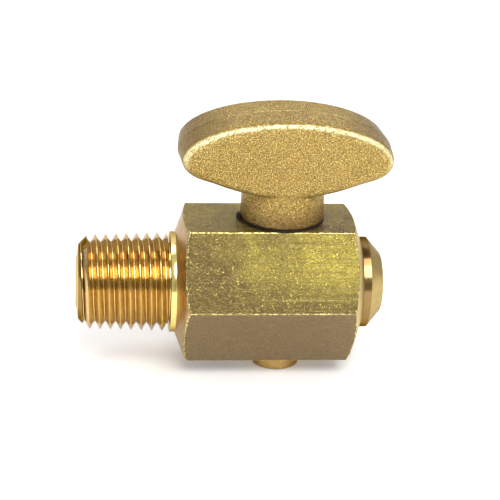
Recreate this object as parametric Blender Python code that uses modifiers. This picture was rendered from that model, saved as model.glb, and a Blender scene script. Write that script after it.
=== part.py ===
"""Brass quarter-turn plug valve: hexagonal body, male taper thread, cast tee handle.

Frame: the origin is the centre of the threaded inlet's end face, +X runs along the flow
to the outlet nose, and +Z runs up the plug to the handle.  Lengths are metres.
"""
import math

import bmesh
import bpy
from mathutils import Vector

MM = 0.001
WELD = 1e-6                        # merge distance, far below the smallest feature

# Body: a hexagonal bar turned at both ends.  Distances along X are from the inlet end.
STEM_X = 28.0 * MM                 # the plug's axis crosses the flow axis here
HEX_FLATS = 19.05 * MM             # 3/4 inch bar
HEX_HALF = HEX_FLATS / 2
OUTLET_CONE = math.tan(math.radians(19.4))   # the bar's outlet end is turned to a cone
INLET_CONE = ((9.5 * MM, 1.0 * MM), (11.6 * MM, 1.72 * MM))   # radius, distance from the collar
COLLAR_X = (12.8 * MM, 13.55 * MM)  # plain ring between the thread and the hexagon
COLLAR_R = 6.95 * MM
NOSE_X = 39.05 * MM                # the outlet nose leaves the right-hand cone here
NOSE_R = 6.3 * MM
NOSE_LAND = 1.1 * MM               # plain length before the nose's end chamfer
NOSE_END_X = 42.05 * MM
NOSE_END_R = 4.1 * MM
FLOW_R = 2.6 * MM
MOUTH_CHAMFER = 0.35 * MM

# Male thread: 1/4-18 taper pipe thread, right-handed.
PITCH = 25.4 / 18 * MM
TAPER = 1 / 32                     # growth of the radius along X
CREST_R = 6.46 * MM                # crest radius at the inlet end
THREAD_DEPTH = 1.0 * MM
CREST_FLAT = 0.14 * MM
THREAD_STEPS = 32
THREAD_PHASE = 0.46                # part of a pitch from the end to a crest, on the underside
THREAD_END_X = 12.3 * MM           # full thread ends here, just short of the collar
RUN_OUT = 0.4 * MM
LIP_R = 3.4 * MM                   # raised ring round the inlet's mouth
LIP_HEIGHT = 0.35 * MM
END_CORNER_R = 5.2 * MM            # where the 45 degree lead chamfer starts

# Plug: a ground taper key, heights are from the flow axis.
ROUND_STEPS = 48
FIT = 0.05 * MM                    # running clearance on the radius
NEST = 0.03 * MM                   # gap between faces that rest on each other
PLUG_SMALL_Z = -4.1 * MM
PLUG_SMALL_R = 4.1 * MM
PLUG_TAPER = 1 / 15
PLUG_TOP_Z = 9.5 * MM
NECK_R = 4.9 * MM
SPIGOT_R = 3.0 * MM                # serrated spigot pressed into the handle
SPIGOT_TEETH = 24
SERRATION = 0.2 * MM
SPIGOT_TOP_Z = 15.6 * MM
TAIL_R = 2.85 * MM
TAIL_FLATS = 5.0 * MM
TAIL_END_Z = -9.3 * MM
SHOULDER_Z = -4.4 * MM             # roof of the counterbore under the plug
COUNTERBORE_R = 5.0 * MM

# Small parts stacked under the plug.
THRUST_WASHER = (3.0 * MM, 4.85 * MM, 0.5 * MM)    # inner radius, outer radius, thickness
KEYED_WASHER_R = 4.8 * MM
KEYED_WASHER_T = 0.6 * MM
SPRING_R = 3.7 * MM
SPRING_WIRE = 0.7 * MM
SPRING_TURNS = 3.25
SPRING_STEPS = 16
SCREW_R = 2.03 * MM                # number 8 screw
SCREW_TOP_Z = -5.2 * MM
HEAD_R = 3.35 * MM
HEAD_END_Z = -12.05 * MM
HEAD_EDGE = 0.22 * MM
SLOT_WIDTH = 1.2 * MM
SLOT_DEPTH = 1.2 * MM
SLOT_ANGLE = math.radians(8)

# Seal ring and cast tee handle.
SEAL_RING = (5.0 * MM, 5.87 * MM, 0.31 * MM)       # inner radius, outer radius, thickness
HUB_BOTTOM_Z = 9.9 * MM
HUB_R = 5.72 * MM
HUB_TOP_R = 5.62 * MM
HUB_TOP_Z = 17.0 * MM
GRIP_Z = 19.4 * MM                 # height of the grip's widest line
GRIP_HALF_LENGTH = 14.55 * MM
GRIP_HALF_HEIGHT = 5.5 * MM
GRIP_HALF_THICK = 5.85 * MM
GRIP_ROUND = 1.3 * MM
GRIP_CROWN = 0.04                  # how much shorter the grip is at its faces than between them
UPPER_POWER = 2.0                  # the upper edge is half an ellipse
LOWER_POWER = 1.6                  # the lower edge runs in straighter towards the hub
GRIP_STEPS = 56


def clear_scene():
    for obj in list(bpy.context.scene.objects):
        bpy.data.objects.remove(obj, do_unlink=True)


def new_collection(name):
    collection = bpy.data.collections.new(name)
    bpy.context.scene.collection.children.link(collection)
    return collection


def metal(name, colour, roughness, metallic=1.0):
    material = bpy.data.materials.new(name)
    material.use_nodes = True
    shader = material.node_tree.nodes["Principled BSDF"]
    shader.inputs["Base Color"].default_value = (*colour, 1.0)
    shader.inputs["Roughness"].default_value = roughness
    shader.inputs["Metallic"].default_value = metallic
    return material


def add_object(name, data, collection, material=None):
    obj = bpy.data.objects.new(name, data)
    collection.objects.link(obj)
    if material:
        data.materials.append(material)
    return obj


def as_cutter(obj):
    obj.hide_render = True
    obj.display_type = "WIRE"
    return obj


def wire_mesh(name, points):
    """A mesh of edges through (radius, height) points in the local XZ plane."""
    mesh = bpy.data.meshes.new(name)
    edges = [(i, i + 1) for i in range(len(points) - 1)]
    mesh.from_pydata([(r, 0.0, z) for r, z in points], edges, [])
    return mesh


def spin(obj, steps, turns=1, rise=0.0):
    screw = obj.modifiers.new("Turn", "SCREW")
    screw.steps = steps
    screw.render_steps = steps
    screw.iterations = turns
    screw.screw_offset = rise
    screw.use_merge_vertices = True
    screw.merge_threshold = WELD
    screw.use_smooth_shade = True
    return screw


def turned(name, outline, collection, material=None, steps=ROUND_STEPS):
    """Solid of revolution about local Z; the outline runs top to bottom, (radius, height)."""
    obj = add_object(name, wire_mesh(name, outline), collection, material)
    spin(obj, steps)
    return obj


def along_flow(obj):
    """Turn a piece made about local Z so that its axis lies along X."""
    obj.rotation_euler = (0.0, math.pi / 2, 0.0)
    return obj


def boolean(obj, operation, other):
    modifier = obj.modifiers.new(other.name, "BOOLEAN")
    modifier.operation = operation
    modifier.solver = "EXACT"
    modifier.object = other
    return modifier


def made_mesh(obj, name, collection):
    """Replace an object by its evaluated mesh, welded, in world space."""
    bpy.context.view_layer.update()
    evaluated = obj.evaluated_get(bpy.context.evaluated_depsgraph_get())
    mesh = bpy.data.meshes.new_from_object(evaluated)
    mesh.transform(obj.matrix_world)
    bpy.data.objects.remove(obj, do_unlink=True)
    edited = bmesh.new()
    edited.from_mesh(mesh)
    bmesh.ops.remove_doubles(edited, verts=edited.verts, dist=WELD)
    open_edges = [edge for edge in edited.edges if edge.is_boundary]
    bmesh.ops.holes_fill(edited, edges=open_edges, sides=0)
    bmesh.ops.recalc_face_normals(edited, faces=edited.faces)
    edited.to_mesh(mesh)
    edited.free()
    mesh.name = name
    return add_object(name, mesh, collection)


def box(name, size, centre, collection, turn=0.0):
    edited = bmesh.new()
    bmesh.ops.create_cube(edited, size=1.0)
    bmesh.ops.scale(edited, vec=Vector(size), verts=edited.verts)
    mesh = bpy.data.meshes.new(name)
    edited.to_mesh(mesh)
    edited.free()
    obj = add_object(name, mesh, collection)
    obj.location = centre
    obj.rotation_euler = (0.0, 0.0, turn)
    return as_cutter(obj)


def plug_radius(z):
    return PLUG_SMALL_R + PLUG_TAPER * (z - PLUG_SMALL_Z)


def hexagonal_bar(cutters):
    edited = bmesh.new()
    corner = HEX_HALF / math.cos(math.radians(30))
    bmesh.ops.create_cone(edited, cap_ends=True, segments=6, radius1=corner, radius2=corner,
                          depth=2 * NOSE_END_X)
    # A corner of the circle lies on local Y, so a flat faces up once the bar lies along X.
    mesh = bpy.data.meshes.new("hexagonal_bar")
    edited.to_mesh(mesh)
    edited.free()
    bar = along_flow(add_object("hexagonal_bar", mesh, cutters))
    return as_cutter(bar)


def thread_spigot(cutters):
    """One pitch of thread form swept into a helix, tapered, closed and trimmed."""
    root = CREST_R - THREAD_DEPTH
    flank = THREAD_DEPTH * math.tan(math.radians(30))
    form = [
        (root, PITCH),
        (root, PITCH / 2 + CREST_FLAT / 2 + flank),
        (CREST_R, PITCH / 2 + CREST_FLAT / 2),
        (CREST_R, PITCH / 2 - CREST_FLAT / 2),
        (root, PITCH / 2 - CREST_FLAT / 2 - flank),
        (root, 0.0),
    ]
    turns = math.ceil(COLLAR_X[1] / PITCH) + 2
    helix = add_object("thread_helix", wire_mesh("thread_helix", form), cutters)
    helix.location = ((THREAD_PHASE - 1.5) * PITCH, 0.0, 0.0)
    along_flow(helix)
    spin(helix, THREAD_STEPS, turns, PITCH)
    helix = made_mesh(helix, "thread_spigot", cutters)
    for vertex in helix.data.vertices:
        radius = math.hypot(vertex.co.y, vertex.co.z)
        grown = 1 + TAPER * vertex.co.x / radius if radius > WELD else 1
        vertex.co.y *= grown
        vertex.co.z *= grown
    trim_r = CREST_R + PITCH
    trim = turned("thread_trim", [
        (0.0, COLLAR_X[1]),
        (END_CORNER_R, COLLAR_X[1]),
        (END_CORNER_R, THREAD_END_X + RUN_OUT),
        (trim_r, THREAD_END_X),
        (trim_r, LIP_HEIGHT + trim_r - END_CORNER_R),
        (END_CORNER_R, LIP_HEIGHT),
        (LIP_R, 0.0),
        (0.0, 0.0),
    ], cutters)
    as_cutter(along_flow(trim))
    boolean(helix, "INTERSECT", trim)
    return as_cutter(helix)


def plug_bore(cutters):
    """The tapered seat from the top flat down, with the counterbore below it."""
    over = 1.0 * MM
    top = HEX_HALF + over
    cutter = turned("plug_bore", [
        (0.0, top),
        (plug_radius(top) + FIT, top),
        (plug_radius(SHOULDER_Z) + FIT, SHOULDER_Z),
        (COUNTERBORE_R, SHOULDER_Z),
        (COUNTERBORE_R, -HEX_HALF - over),
        (0.0, -HEX_HALF - over),
    ], cutters)
    cutter.location = (STEM_X, 0.0, 0.0)
    return as_cutter(cutter)


def flow_bore(cutters):
    over = 0.5 * MM
    mouth = FLOW_R + MOUTH_CHAMFER + over
    cutter = turned("flow_bore", [
        (0.0, NOSE_END_X + over),
        (mouth, NOSE_END_X + over),
        (FLOW_R, NOSE_END_X - MOUTH_CHAMFER),
        (FLOW_R, MOUTH_CHAMFER),
        (mouth, -over),
        (0.0, -over),
    ], cutters, steps=32)
    return as_cutter(along_flow(cutter))


def valve_body(parts, cutters, material):
    beyond = INLET_CONE[1][0]
    body = turned("valve_body", [
        (0.0, NOSE_END_X),
        (NOSE_END_R, NOSE_END_X),
        (NOSE_R, NOSE_X + NOSE_LAND),
        (NOSE_R, NOSE_X),
        (beyond, NOSE_X - OUTLET_CONE * (beyond - NOSE_R)),
        (INLET_CONE[1][0], COLLAR_X[1] + INLET_CONE[1][1]),
        (INLET_CONE[0][0], COLLAR_X[1] + INLET_CONE[0][1]),
        (COLLAR_R, COLLAR_X[1]),
        (COLLAR_R, COLLAR_X[0]),
        (END_CORNER_R - 1.0 * MM, COLLAR_X[0]),
        (0.0, COLLAR_X[0]),
    ], parts, material)
    along_flow(body)
    boolean(body, "INTERSECT", hexagonal_bar(cutters))
    boolean(body, "UNION", thread_spigot(cutters))
    boolean(body, "DIFFERENCE", plug_bore(cutters))
    boolean(body, "DIFFERENCE", flow_bore(cutters))
    return body


def stem_axis(parts):
    """Empty on the plug's axis; everything that turns hangs from it."""
    empty = bpy.data.objects.new("plug_turn_axis", None)
    empty.location = (STEM_X, 0.0, 0.0)
    parts.objects.link(empty)
    return empty


def serrated_rod(cutters):
    """Straight-knurled spigot: a star outline drawn on the plug's axis and extruded."""
    curve = bpy.data.curves.new("serrated_rod", "CURVE")
    curve.dimensions = "2D"
    curve.fill_mode = "BOTH"
    bottom = HUB_BOTTOM_Z - 1.0 * MM
    curve.extrude = (SPIGOT_TOP_Z - bottom) / 2
    spline = curve.splines.new("POLY")
    count = 2 * SPIGOT_TEETH
    spline.points.add(count - 1)
    for i, point in enumerate(spline.points):
        radius = SPIGOT_R - SERRATION * (i % 2)
        angle = 2 * math.pi * i / count
        point.co = (radius * math.cos(angle), radius * math.sin(angle), 0.0, 1.0)
    spline.use_cyclic_u = True
    rod = add_object("serrated_rod", curve, cutters)
    rod.location = (STEM_X, 0.0, (SPIGOT_TOP_Z + bottom) / 2)
    return as_cutter(made_mesh(rod, "serrated_spigot", cutters))


def plug(parts, cutters, material, axis):
    """Tapered key with a neck on top and a tail below, both on one axis."""
    key = turned("plug", [
        (0.0, HUB_BOTTOM_Z - NEST),
        (NECK_R, HUB_BOTTOM_Z - NEST),
        (NECK_R, PLUG_TOP_Z),
        (plug_radius(PLUG_TOP_Z), PLUG_TOP_Z),
        (PLUG_SMALL_R, PLUG_SMALL_Z),
        (TAIL_R, PLUG_SMALL_Z),
        (TAIL_R, TAIL_END_Z),
        (0.0, TAIL_END_Z),
    ], parts, material)
    key.parent = axis
    port = turned("plug_port", [
        (0.0, 2 * COUNTERBORE_R),
        (FLOW_R, 2 * COUNTERBORE_R),
        (FLOW_R, -2 * COUNTERBORE_R),
        (0.0, -2 * COUNTERBORE_R),
    ], cutters, steps=32)
    port.location = (STEM_X, 0.0, 0.0)
    as_cutter(along_flow(port))
    tapped_hole = turned("tapped_hole", [
        (0.0, SCREW_TOP_Z + 0.4 * MM),
        (SCREW_R + FIT, SCREW_TOP_Z + 0.4 * MM),
        (SCREW_R + FIT, TAIL_END_Z - 1.0 * MM),
        (0.0, TAIL_END_Z - 1.0 * MM),
    ], cutters, steps=32)
    tapped_hole.location = (STEM_X, 0.0, 0.0)
    as_cutter(tapped_hole)
    boolean(key, "DIFFERENCE", port)
    boolean(key, "DIFFERENCE", tapped_hole)
    for side in (-1, 1):
        boolean(key, "DIFFERENCE", tail_flat(cutters, side, TAIL_FLATS / 2))
    boolean(key, "UNION", serrated_rod(cutters))
    return key


def tail_flat(cutters, side, distance):
    """Box that mills one of the two flats on the plug's tail."""
    width = 3.0 * MM
    height = PLUG_SMALL_Z - TAIL_END_Z
    centre_z = PLUG_SMALL_Z - 0.5 * MM - height / 2
    centre = (STEM_X + side * (distance + width / 2), 0.0, centre_z)
    return box("tail_flat", (width, 4 * TAIL_R, height), centre, cutters)


def washer(name, inner, outer, top, thickness, parts, cutters, material):
    ring = turned(name, [
        (0.0, top),
        (outer, top),
        (outer, top - thickness),
        (0.0, top - thickness),
    ], parts, material)
    hole = turned(name + "_hole", [
        (0.0, top + thickness),
        (inner, top + thickness),
        (inner, top - 2 * thickness),
        (0.0, top - 2 * thickness),
    ], cutters)
    hole.location = (STEM_X, 0.0, 0.0)
    as_cutter(hole)
    boolean(ring, "DIFFERENCE", hole)
    return ring, hole


def thrust_washer(parts, cutters, material):
    inner, outer, thickness = THRUST_WASHER
    ring, _ = washer("thrust_washer", inner, outer, SHOULDER_Z - NEST, thickness,
                     parts, cutters, material)
    ring.location = (STEM_X, 0.0, 0.0)
    return ring


def keyed_washer(parts, cutters, material, axis):
    """Washer whose hole has the tail's two flats, so it turns with the plug."""
    top = TAIL_END_Z + KEYED_WASHER_T - NEST
    ring, hole = washer("keyed_washer", TAIL_R + FIT, KEYED_WASHER_R, top, KEYED_WASHER_T,
                        parts, cutters, material)
    for side in (-1, 1):
        boolean(hole, "DIFFERENCE", tail_flat(cutters, side, TAIL_FLATS / 2 + FIT))
    ring.parent = axis
    return ring


def plug_spring(parts, material, axis):
    top = SHOULDER_Z - NEST - THRUST_WASHER[2] - NEST - SPRING_WIRE / 2
    bottom = TAIL_END_Z + KEYED_WASHER_T + SPRING_WIRE / 2
    curve = bpy.data.curves.new("plug_spring", "CURVE")
    curve.dimensions = "3D"
    curve.bevel_depth = SPRING_WIRE / 2
    curve.bevel_resolution = 2
    curve.use_fill_caps = True
    spline = curve.splines.new("POLY")
    count = round(SPRING_TURNS * SPRING_STEPS)
    spline.points.add(count)
    for i, point in enumerate(spline.points):
        angle = 2 * math.pi * i / SPRING_STEPS
        height = bottom + (top - bottom) * i / count
        point.co = (SPRING_R * math.cos(angle), SPRING_R * math.sin(angle), height, 1.0)
    spring = add_object("plug_spring", curve, parts, material)
    spring.parent = axis
    return spring


def retaining_screw(parts, cutters, material, axis):
    """Slotted fillister screw: its head holds the keyed washer on the plug's tail."""
    head_top = TAIL_END_Z - NEST
    screw = turned("retaining_screw", [
        (0.0, SCREW_TOP_Z),
        (SCREW_R - HEAD_EDGE, SCREW_TOP_Z),
        (SCREW_R, SCREW_TOP_Z - HEAD_EDGE),
        (SCREW_R, head_top - NEST),
        (HEAD_R, head_top - NEST),
        (HEAD_R, HEAD_END_Z + HEAD_EDGE),
        (HEAD_R - HEAD_EDGE, HEAD_END_Z),
        (0.0, HEAD_END_Z),
    ], parts, material)
    screw.parent = axis
    slot = box("screw_slot", (3 * HEAD_R, SLOT_WIDTH, 2 * SLOT_DEPTH),
               (STEM_X, 0.0, HEAD_END_Z), cutters, SLOT_ANGLE)
    boolean(screw, "DIFFERENCE", slot)
    return screw


def stem_seal_ring(parts, cutters, material):
    inner, outer, thickness = SEAL_RING
    ring, _ = washer("stem_seal_ring", inner, outer, HEX_HALF + NEST + thickness, thickness,
                     parts, cutters, material)
    ring.location = (STEM_X, 0.0, 0.0)
    return ring


def grip_outline():
    """Points round the grip in the XZ plane: half an ellipse above, a leaner half below."""
    points = []
    for i in range(GRIP_STEPS):
        angle = 2 * math.pi * i / GRIP_STEPS
        power = UPPER_POWER if math.sin(angle) >= 0 else LOWER_POWER
        across = abs(math.cos(angle)) ** (2 / power)
        up = abs(math.sin(angle)) ** (2 / power)
        points.append((math.copysign(across * GRIP_HALF_LENGTH, math.cos(angle)),
                       math.copysign(up * GRIP_HALF_HEIGHT, math.sin(angle))))
    return points


def crown(mesh):
    """Bow the grip's rim outwards between its two faces."""
    edited = bmesh.new()
    edited.from_mesh(mesh)
    everything = edited.verts[:] + edited.edges[:] + edited.faces[:]
    bmesh.ops.bisect_plane(edited, geom=everything, dist=WELD, plane_co=(0.0, 0.0, 0.0),
                           plane_no=(0.0, 1.0, 0.0))
    for vertex in edited.verts:
        across = vertex.co.y / GRIP_HALF_THICK
        vertex.co.x = STEM_X + (vertex.co.x - STEM_X) * (1 - GRIP_CROWN * across ** 2)
    edited.to_mesh(mesh)
    edited.free()


def tee_handle(parts, cutters, material, axis):
    """Oval grip standing on edge over a round hub, as one casting."""
    curve = bpy.data.curves.new("grip", "CURVE")
    curve.dimensions = "2D"
    curve.fill_mode = "BOTH"
    curve.extrude = GRIP_HALF_THICK - GRIP_ROUND
    curve.bevel_depth = GRIP_ROUND
    curve.bevel_resolution = 2
    curve.offset = -GRIP_ROUND
    spline = curve.splines.new("POLY")
    outline = grip_outline()
    spline.points.add(len(outline) - 1)
    for point, (across, up) in zip(spline.points, outline):
        point.co = (across, up, 0.0, 1.0)
    spline.use_cyclic_u = True
    grip = add_object("grip_curve", curve, cutters)
    grip.location = (STEM_X, 0.0, GRIP_Z)
    grip.rotation_euler = (math.pi / 2, 0.0, 0.0)
    grip = as_cutter(made_mesh(grip, "grip", cutters))
    crown(grip.data)
    handle = turned("tee_handle", [
        (0.0, HUB_TOP_Z),
        (HUB_TOP_R, HUB_TOP_Z),
        (HUB_R, HUB_BOTTOM_Z),
        (0.0, HUB_BOTTOM_Z),
    ], parts, material)
    handle.parent = axis
    socket = turned("handle_socket", [
        (0.0, SPIGOT_TOP_Z + 4 * NEST),
        (SPIGOT_R + FIT, SPIGOT_TOP_Z + 4 * NEST),
        (SPIGOT_R + FIT, HUB_BOTTOM_Z - 1.0 * MM),
        (0.0, HUB_BOTTOM_Z - 1.0 * MM),
    ], cutters)
    socket.location = (STEM_X, 0.0, 0.0)
    as_cutter(socket)
    boolean(handle, "UNION", grip)
    boolean(handle, "DIFFERENCE", socket)
    return handle


def build():
    clear_scene()
    parts = new_collection("plug_valve")
    cutters = new_collection("cutters")
    bar_brass = metal("bar_brass", (0.62, 0.49, 0.18), 0.35)
    cast_brass = metal("cast_brass", (0.72, 0.53, 0.20), 0.5)
    turned_brass = metal("turned_brass", (0.78, 0.56, 0.22), 0.25)
    spring_steel = metal("spring_steel", (0.55, 0.56, 0.58), 0.3)
    black_rubber = metal("black_rubber", (0.02, 0.02, 0.02), 0.45, 0.0)
    axis = stem_axis(parts)
    valve_body(parts, cutters, bar_brass)
    plug(parts, cutters, turned_brass, axis)
    thrust_washer(parts, cutters, turned_brass)
    plug_spring(parts, spring_steel, axis)
    keyed_washer(parts, cutters, turned_brass, axis)
    retaining_screw(parts, cutters, turned_brass, axis)
    stem_seal_ring(parts, cutters, black_rubber)
    tee_handle(parts, cutters, cast_brass, axis)


build()
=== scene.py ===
"""Looks of the brass plug valve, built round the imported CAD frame.

Shapes are worked out in millimetres in the row frame (origin at the centre of the
inlet's end face, +X along the flow, +Z up the plug) and scaled to metres at the end.
"""
import math

import bmesh
import bpy
import numpy as np
from mathutils import Matrix, Vector, noise

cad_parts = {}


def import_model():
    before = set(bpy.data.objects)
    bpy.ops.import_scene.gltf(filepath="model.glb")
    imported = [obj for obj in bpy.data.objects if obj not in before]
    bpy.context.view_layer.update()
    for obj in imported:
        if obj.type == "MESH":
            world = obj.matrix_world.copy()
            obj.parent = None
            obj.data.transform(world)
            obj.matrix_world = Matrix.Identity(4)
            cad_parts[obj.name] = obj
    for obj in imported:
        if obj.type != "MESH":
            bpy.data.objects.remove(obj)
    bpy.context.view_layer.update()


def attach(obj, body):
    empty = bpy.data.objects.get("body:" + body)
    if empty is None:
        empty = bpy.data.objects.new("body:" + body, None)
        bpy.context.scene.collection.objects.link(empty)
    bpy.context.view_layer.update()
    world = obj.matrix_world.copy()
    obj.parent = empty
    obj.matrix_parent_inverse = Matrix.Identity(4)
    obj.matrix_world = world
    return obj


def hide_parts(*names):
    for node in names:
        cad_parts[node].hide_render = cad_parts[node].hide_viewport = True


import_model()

MM = 0.001
TAU = 2 * math.pi

# ---------------------------------------------------------------- sizes: the CAD part's, and finer details
STEM_X = 28.0
HEX_HALF = 19.05 / 2
CORNER_ROUND = 0.2
FLAT_COLUMNS = 64
ROUND_COLUMNS = 5
BURR_IN, BURR_OUT = (0.11, 0.09), (0.10, 0.08)       # worn edge of the hexagon: size, how much it varies
OUTLET_SLOPE = math.tan(math.radians(19.4))
INLET_CONE = ((9.5, 1.0), (11.6, 1.72))
COLLAR_X = (12.8, 13.55)
COLLAR_R = 6.95
NOSE_X, NOSE_R, NOSE_LAND = 39.05, 6.3, 1.1
NOSE_END_X, NOSE_END_R = 42.05, 4.1
FLOW_R, MOUTH_CHAMFER = 2.6, 0.35

PITCH = 25.4 / 18
TAPER = 1 / 32
CREST_R = 6.46
THREAD_DEPTH = 1.08
CREST_FLAT = 0.08
THREAD_PHASE = 0.46
THREAD_END_X = 12.3
RUN_OUT = 0.4
LIP_R, LIP_HEIGHT, END_CORNER_R = 3.4, 0.35, 5.2
THREAD_COLUMNS = 128
RAGGED, RAGGED_LAST, RAGGED_FROM_X = 0.015, 0.085, THREAD_END_X - 1.6   # how much crests are broken

FIT, NEST = 0.05, 0.03
PLUG_SMALL_Z, PLUG_SMALL_R, PLUG_TAPER = -4.1, 4.1, 1 / 15
PLUG_TOP_Z, NECK_R = 9.5, 4.9
SPIGOT_R, SPIGOT_TOP_Z = 3.0, 15.6
TAIL_R, TAIL_FLATS, TAIL_END_Z = 2.85, 5.0, -9.3
SHOULDER_Z, COUNTERBORE_R = -4.4, 5.0
HUB_BOTTOM_Z, HUB_R, HUB_TOP_R, HUB_TOP_Z = 9.9, 5.72, 5.58, 17.0
GRIP_Z, GRIP_LENGTH, GRIP_HEIGHT, GRIP_THICK = 19.4, 14.5, 5.43, 5.83
GRIP_ROUND, GRIP_CROWN = 1.3, 0.04
GRIP_POINTS, EDGE_STEPS = 360, 8
SEAMS = ((14.6, 19.2), (27.0, 30.6), (36.6, 40.2))   # where the parting line still stands proud
SEAM_Y, SEAM_HALF, SEAM_RISE = -0.02, 0.16, 0.058
CAST_VOXEL = 0.12
SCREW_R, SCREW_TOP_Z, TAPPED_R, TAPPED_TOP_Z = 2.03, -5.2, 2.08, -4.8
HEAD_R, HEAD_END_Z = 3.35, -12.05
SLOT_WIDTH, SLOT_DEPTH, SLOT_ANGLE = 1.2, 1.2, math.radians(8)
THRUST_RADII, THRUST_THICK = (3.0, 4.85), 0.5
KEYED_RADII, KEYED_THICK, KEYED_FLATS = (2.9, 4.8), 0.6, 2.55
COIL_R, WIRE_R, COIL_TURNS = 3.7, 0.35, 3.25
SPIGOT_TEETH, TOOTH_DEPTH = 24, 0.2
RING_INNER, RING_OUTER, RING_THICK = 5.0, 5.80, 0.31
RING_BULGE, RING_LIFT, RING_RIPPLE = 0.5, 0.55, 0.03
BULGE_ANGLE, BULGE_SPREAD = math.radians(183), math.radians(15)

# ---------------------------------------------------------------- look and stage
SHARP_ANGLE, SOFT_ANGLE = 28.0, 60.0                 # edges that turn more, in degrees, stay sharp
GRAZING_TINT = (0.60, 0.50, 0.40)                    # how brass darkens where it is seen edge-on
CAST_GRAIN, CAST_SHRINK = 0.020, 0.01                # height of the cast skin, and how far it sits in
FLOOR_GAP, FLOOR_HALF, FLOOR_GLOW = 0.02, 3.0, 0.2   # millimetres, metres, emission strength
LIT_POINT = (24.0, 0.0, 4.0)
NOISE_SEED = 7

noise.seed_set(NOISE_SEED)


# ---------------------------------------------------------------- mesh helpers
def new_object(name, mesh):
    obj = bpy.data.objects.new(name, mesh)
    bpy.context.scene.collection.objects.link(obj)
    return obj


def mesh_from(name, points, faces):
    mesh = bpy.data.meshes.new(name)
    mesh.from_pydata([tuple(p) for p in np.asarray(points, float) * MM], [], faces)
    mesh.update()
    return mesh


def lathe(name, outline, steps=144, axis="Z", centre=(0.0, 0.0, 0.0), loop=False):
    """Solid of revolution; outline is (radius, height) pairs, first and last on the axis,
    or a closed loop of them, which makes a ring."""
    angles = np.arange(steps) * TAU / steps
    points, faces, rows = [], [], []
    for radius, height in outline:
        if radius == 0.0:
            rows.append([len(points)])
            ring = [(0.0, 0.0, height)]
        else:
            rows.append(list(range(len(points), len(points) + steps)))
            ring = [(radius * math.cos(a), radius * math.sin(a), height) for a in angles]
        points.extend(ring)
    following = rows[1:] + rows[:1] if loop else rows[1:]
    for low, high in zip(rows, following):
        for i in range(steps):
            j = (i + 1) % steps
            corners = [low[i % len(low)], low[j % len(low)], high[j % len(high)], high[i % len(high)]]
            face = list(dict.fromkeys(corners))
            if len(face) > 2:
                faces.append(face)
    points = np.array(points)
    if axis == "X":
        points = points[:, [2, 0, 1]]
    points = points + np.array(centre)
    obj = new_object(name, mesh_from(name, points, faces))
    outward(obj)
    return obj


def outward(obj):
    edited = bmesh.new()
    edited.from_mesh(obj.data)
    bmesh.ops.recalc_face_normals(edited, faces=edited.faces)
    edited.to_mesh(obj.data)
    edited.free()


def apply_modifiers(obj):
    graph = bpy.context.evaluated_depsgraph_get()
    mesh = bpy.data.meshes.new_from_object(obj.evaluated_get(graph))
    old = obj.data
    obj.modifiers.clear()
    obj.data = mesh
    bpy.data.meshes.remove(old)
    mesh.name = obj.name


def boolean(obj, operation, other):
    modifier = obj.modifiers.new("Boolean", "BOOLEAN")
    modifier.operation = operation
    modifier.solver = "EXACT"
    modifier.object = other
    apply_modifiers(obj)
    bpy.data.objects.remove(other, do_unlink=True)


def smooth(obj, angle):
    obj.data.shade_smooth()
    obj.data.set_sharp_from_angle(angle=math.radians(angle))


def block(name, size, centre, turn=0.0):
    edited = bmesh.new()
    bmesh.ops.create_cube(edited, size=1.0)
    bmesh.ops.scale(edited, vec=Vector(size) * MM, verts=edited.verts)
    bmesh.ops.rotate(edited, cent=(0, 0, 0), matrix=Matrix.Rotation(turn, 3, "Z"), verts=edited.verts)
    bmesh.ops.translate(edited, vec=Vector(centre) * MM, verts=edited.verts)
    mesh = bpy.data.meshes.new(name)
    edited.to_mesh(mesh)
    edited.free()
    return new_object(name, mesh)


# ---------------------------------------------------------------- the valve body
def hexagon_columns():
    """Angle and radius of points round a hexagon with rounded corners, a flat facing up."""
    points = []
    inner = HEX_HALF - CORNER_ROUND
    half_side = inner * math.tan(math.radians(30))
    for k in range(6):
        facing = math.radians(30 + 60 * k)
        out = np.array([math.cos(facing), math.sin(facing)])
        along = np.array([-math.sin(facing), math.cos(facing)])
        for t in np.linspace(-half_side, half_side, FLAT_COLUMNS):
            points.append(out * HEX_HALF + along * t)
        corner = math.radians(60 + 60 * k)
        centre = inner / math.cos(math.radians(30)) * np.array([math.cos(corner), math.sin(corner)])
        for step in range(1, ROUND_COLUMNS):
            turn = facing + math.radians(60) * step / ROUND_COLUMNS
            points.append(centre + CORNER_ROUND * np.array([math.cos(turn), math.sin(turn)]))
    points = np.array(points)
    return np.arctan2(points[:, 1], points[:, 0]), np.hypot(points[:, 0], points[:, 1])


def inlet_cone_x(radius):
    (r1, d1), (r2, d2) = INLET_CONE
    first = d1 * (radius - COLLAR_R) / (r1 - COLLAR_R)
    second = d1 + (d2 - d1) * (radius - r1) / (r2 - r1)
    return COLLAR_X[1] + np.where(radius < r1, first, second)


def outlet_cone_x(radius):
    return NOSE_X - OUTLET_SLOPE * (radius - NOSE_R)


def jitter(angle, size, seed):
    """Smooth random value about -1 to 1 for each column."""
    return np.array([noise.noise(Vector((math.cos(a) * size, math.sin(a) * size, seed)))
                     for a in angle]) * 2


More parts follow.
